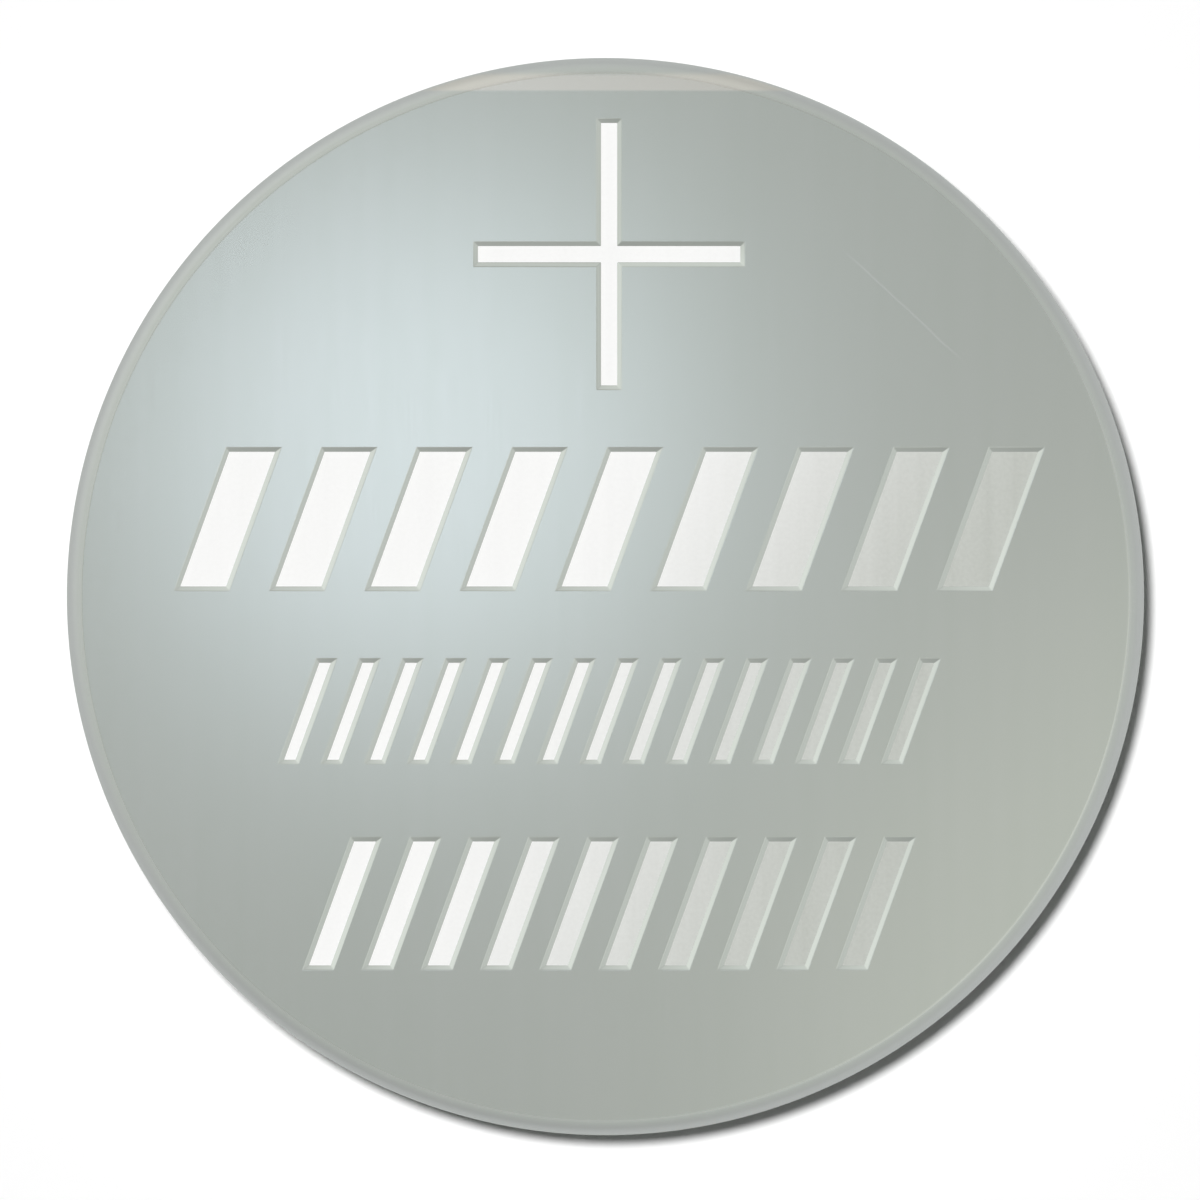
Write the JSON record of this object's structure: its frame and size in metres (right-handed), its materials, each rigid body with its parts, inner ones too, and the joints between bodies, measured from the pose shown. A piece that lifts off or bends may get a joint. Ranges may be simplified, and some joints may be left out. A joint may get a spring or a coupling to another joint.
{
  "type": "lithium coin cell",
  "caption": "Flat round coin cell: a steel can with a stamped plus sign, crimped over a gasket and a stepped cap, with its electrodes inside.",
  "frame": {"origin": "on the cell's axis, in the plane of the negative contact face it rests on", "axes": "+Z along the axis out of the positive face, +Y towards the stamped plus sign, +X to its right"},
  "size_m": [0.02, 0.02, 0.0032],
  "materials": {
    "can_steel": "satin nickel plating",
    "cap_steel": "satin nickel plating",
    "gasket_plastic": "moulded polypropylene",
    "lithium_foil": "soft rolled metal",
    "separator_cloth": "non-woven polypropylene",
    "cathode_powder": "pressed black powder",
    "ring_steel": "plain stainless sheet"
  },
  "bodies": {
    "root": {"positive_can": "can_steel", "negative_cap": "cap_steel", "sealing_gasket": "gasket_plastic", "lithium_anode": "lithium_foil", "separator": "separator_cloth", "cathode_pellet": "cathode_powder", "cathode_ring": "ring_steel"}
  },
  "joints": []
}
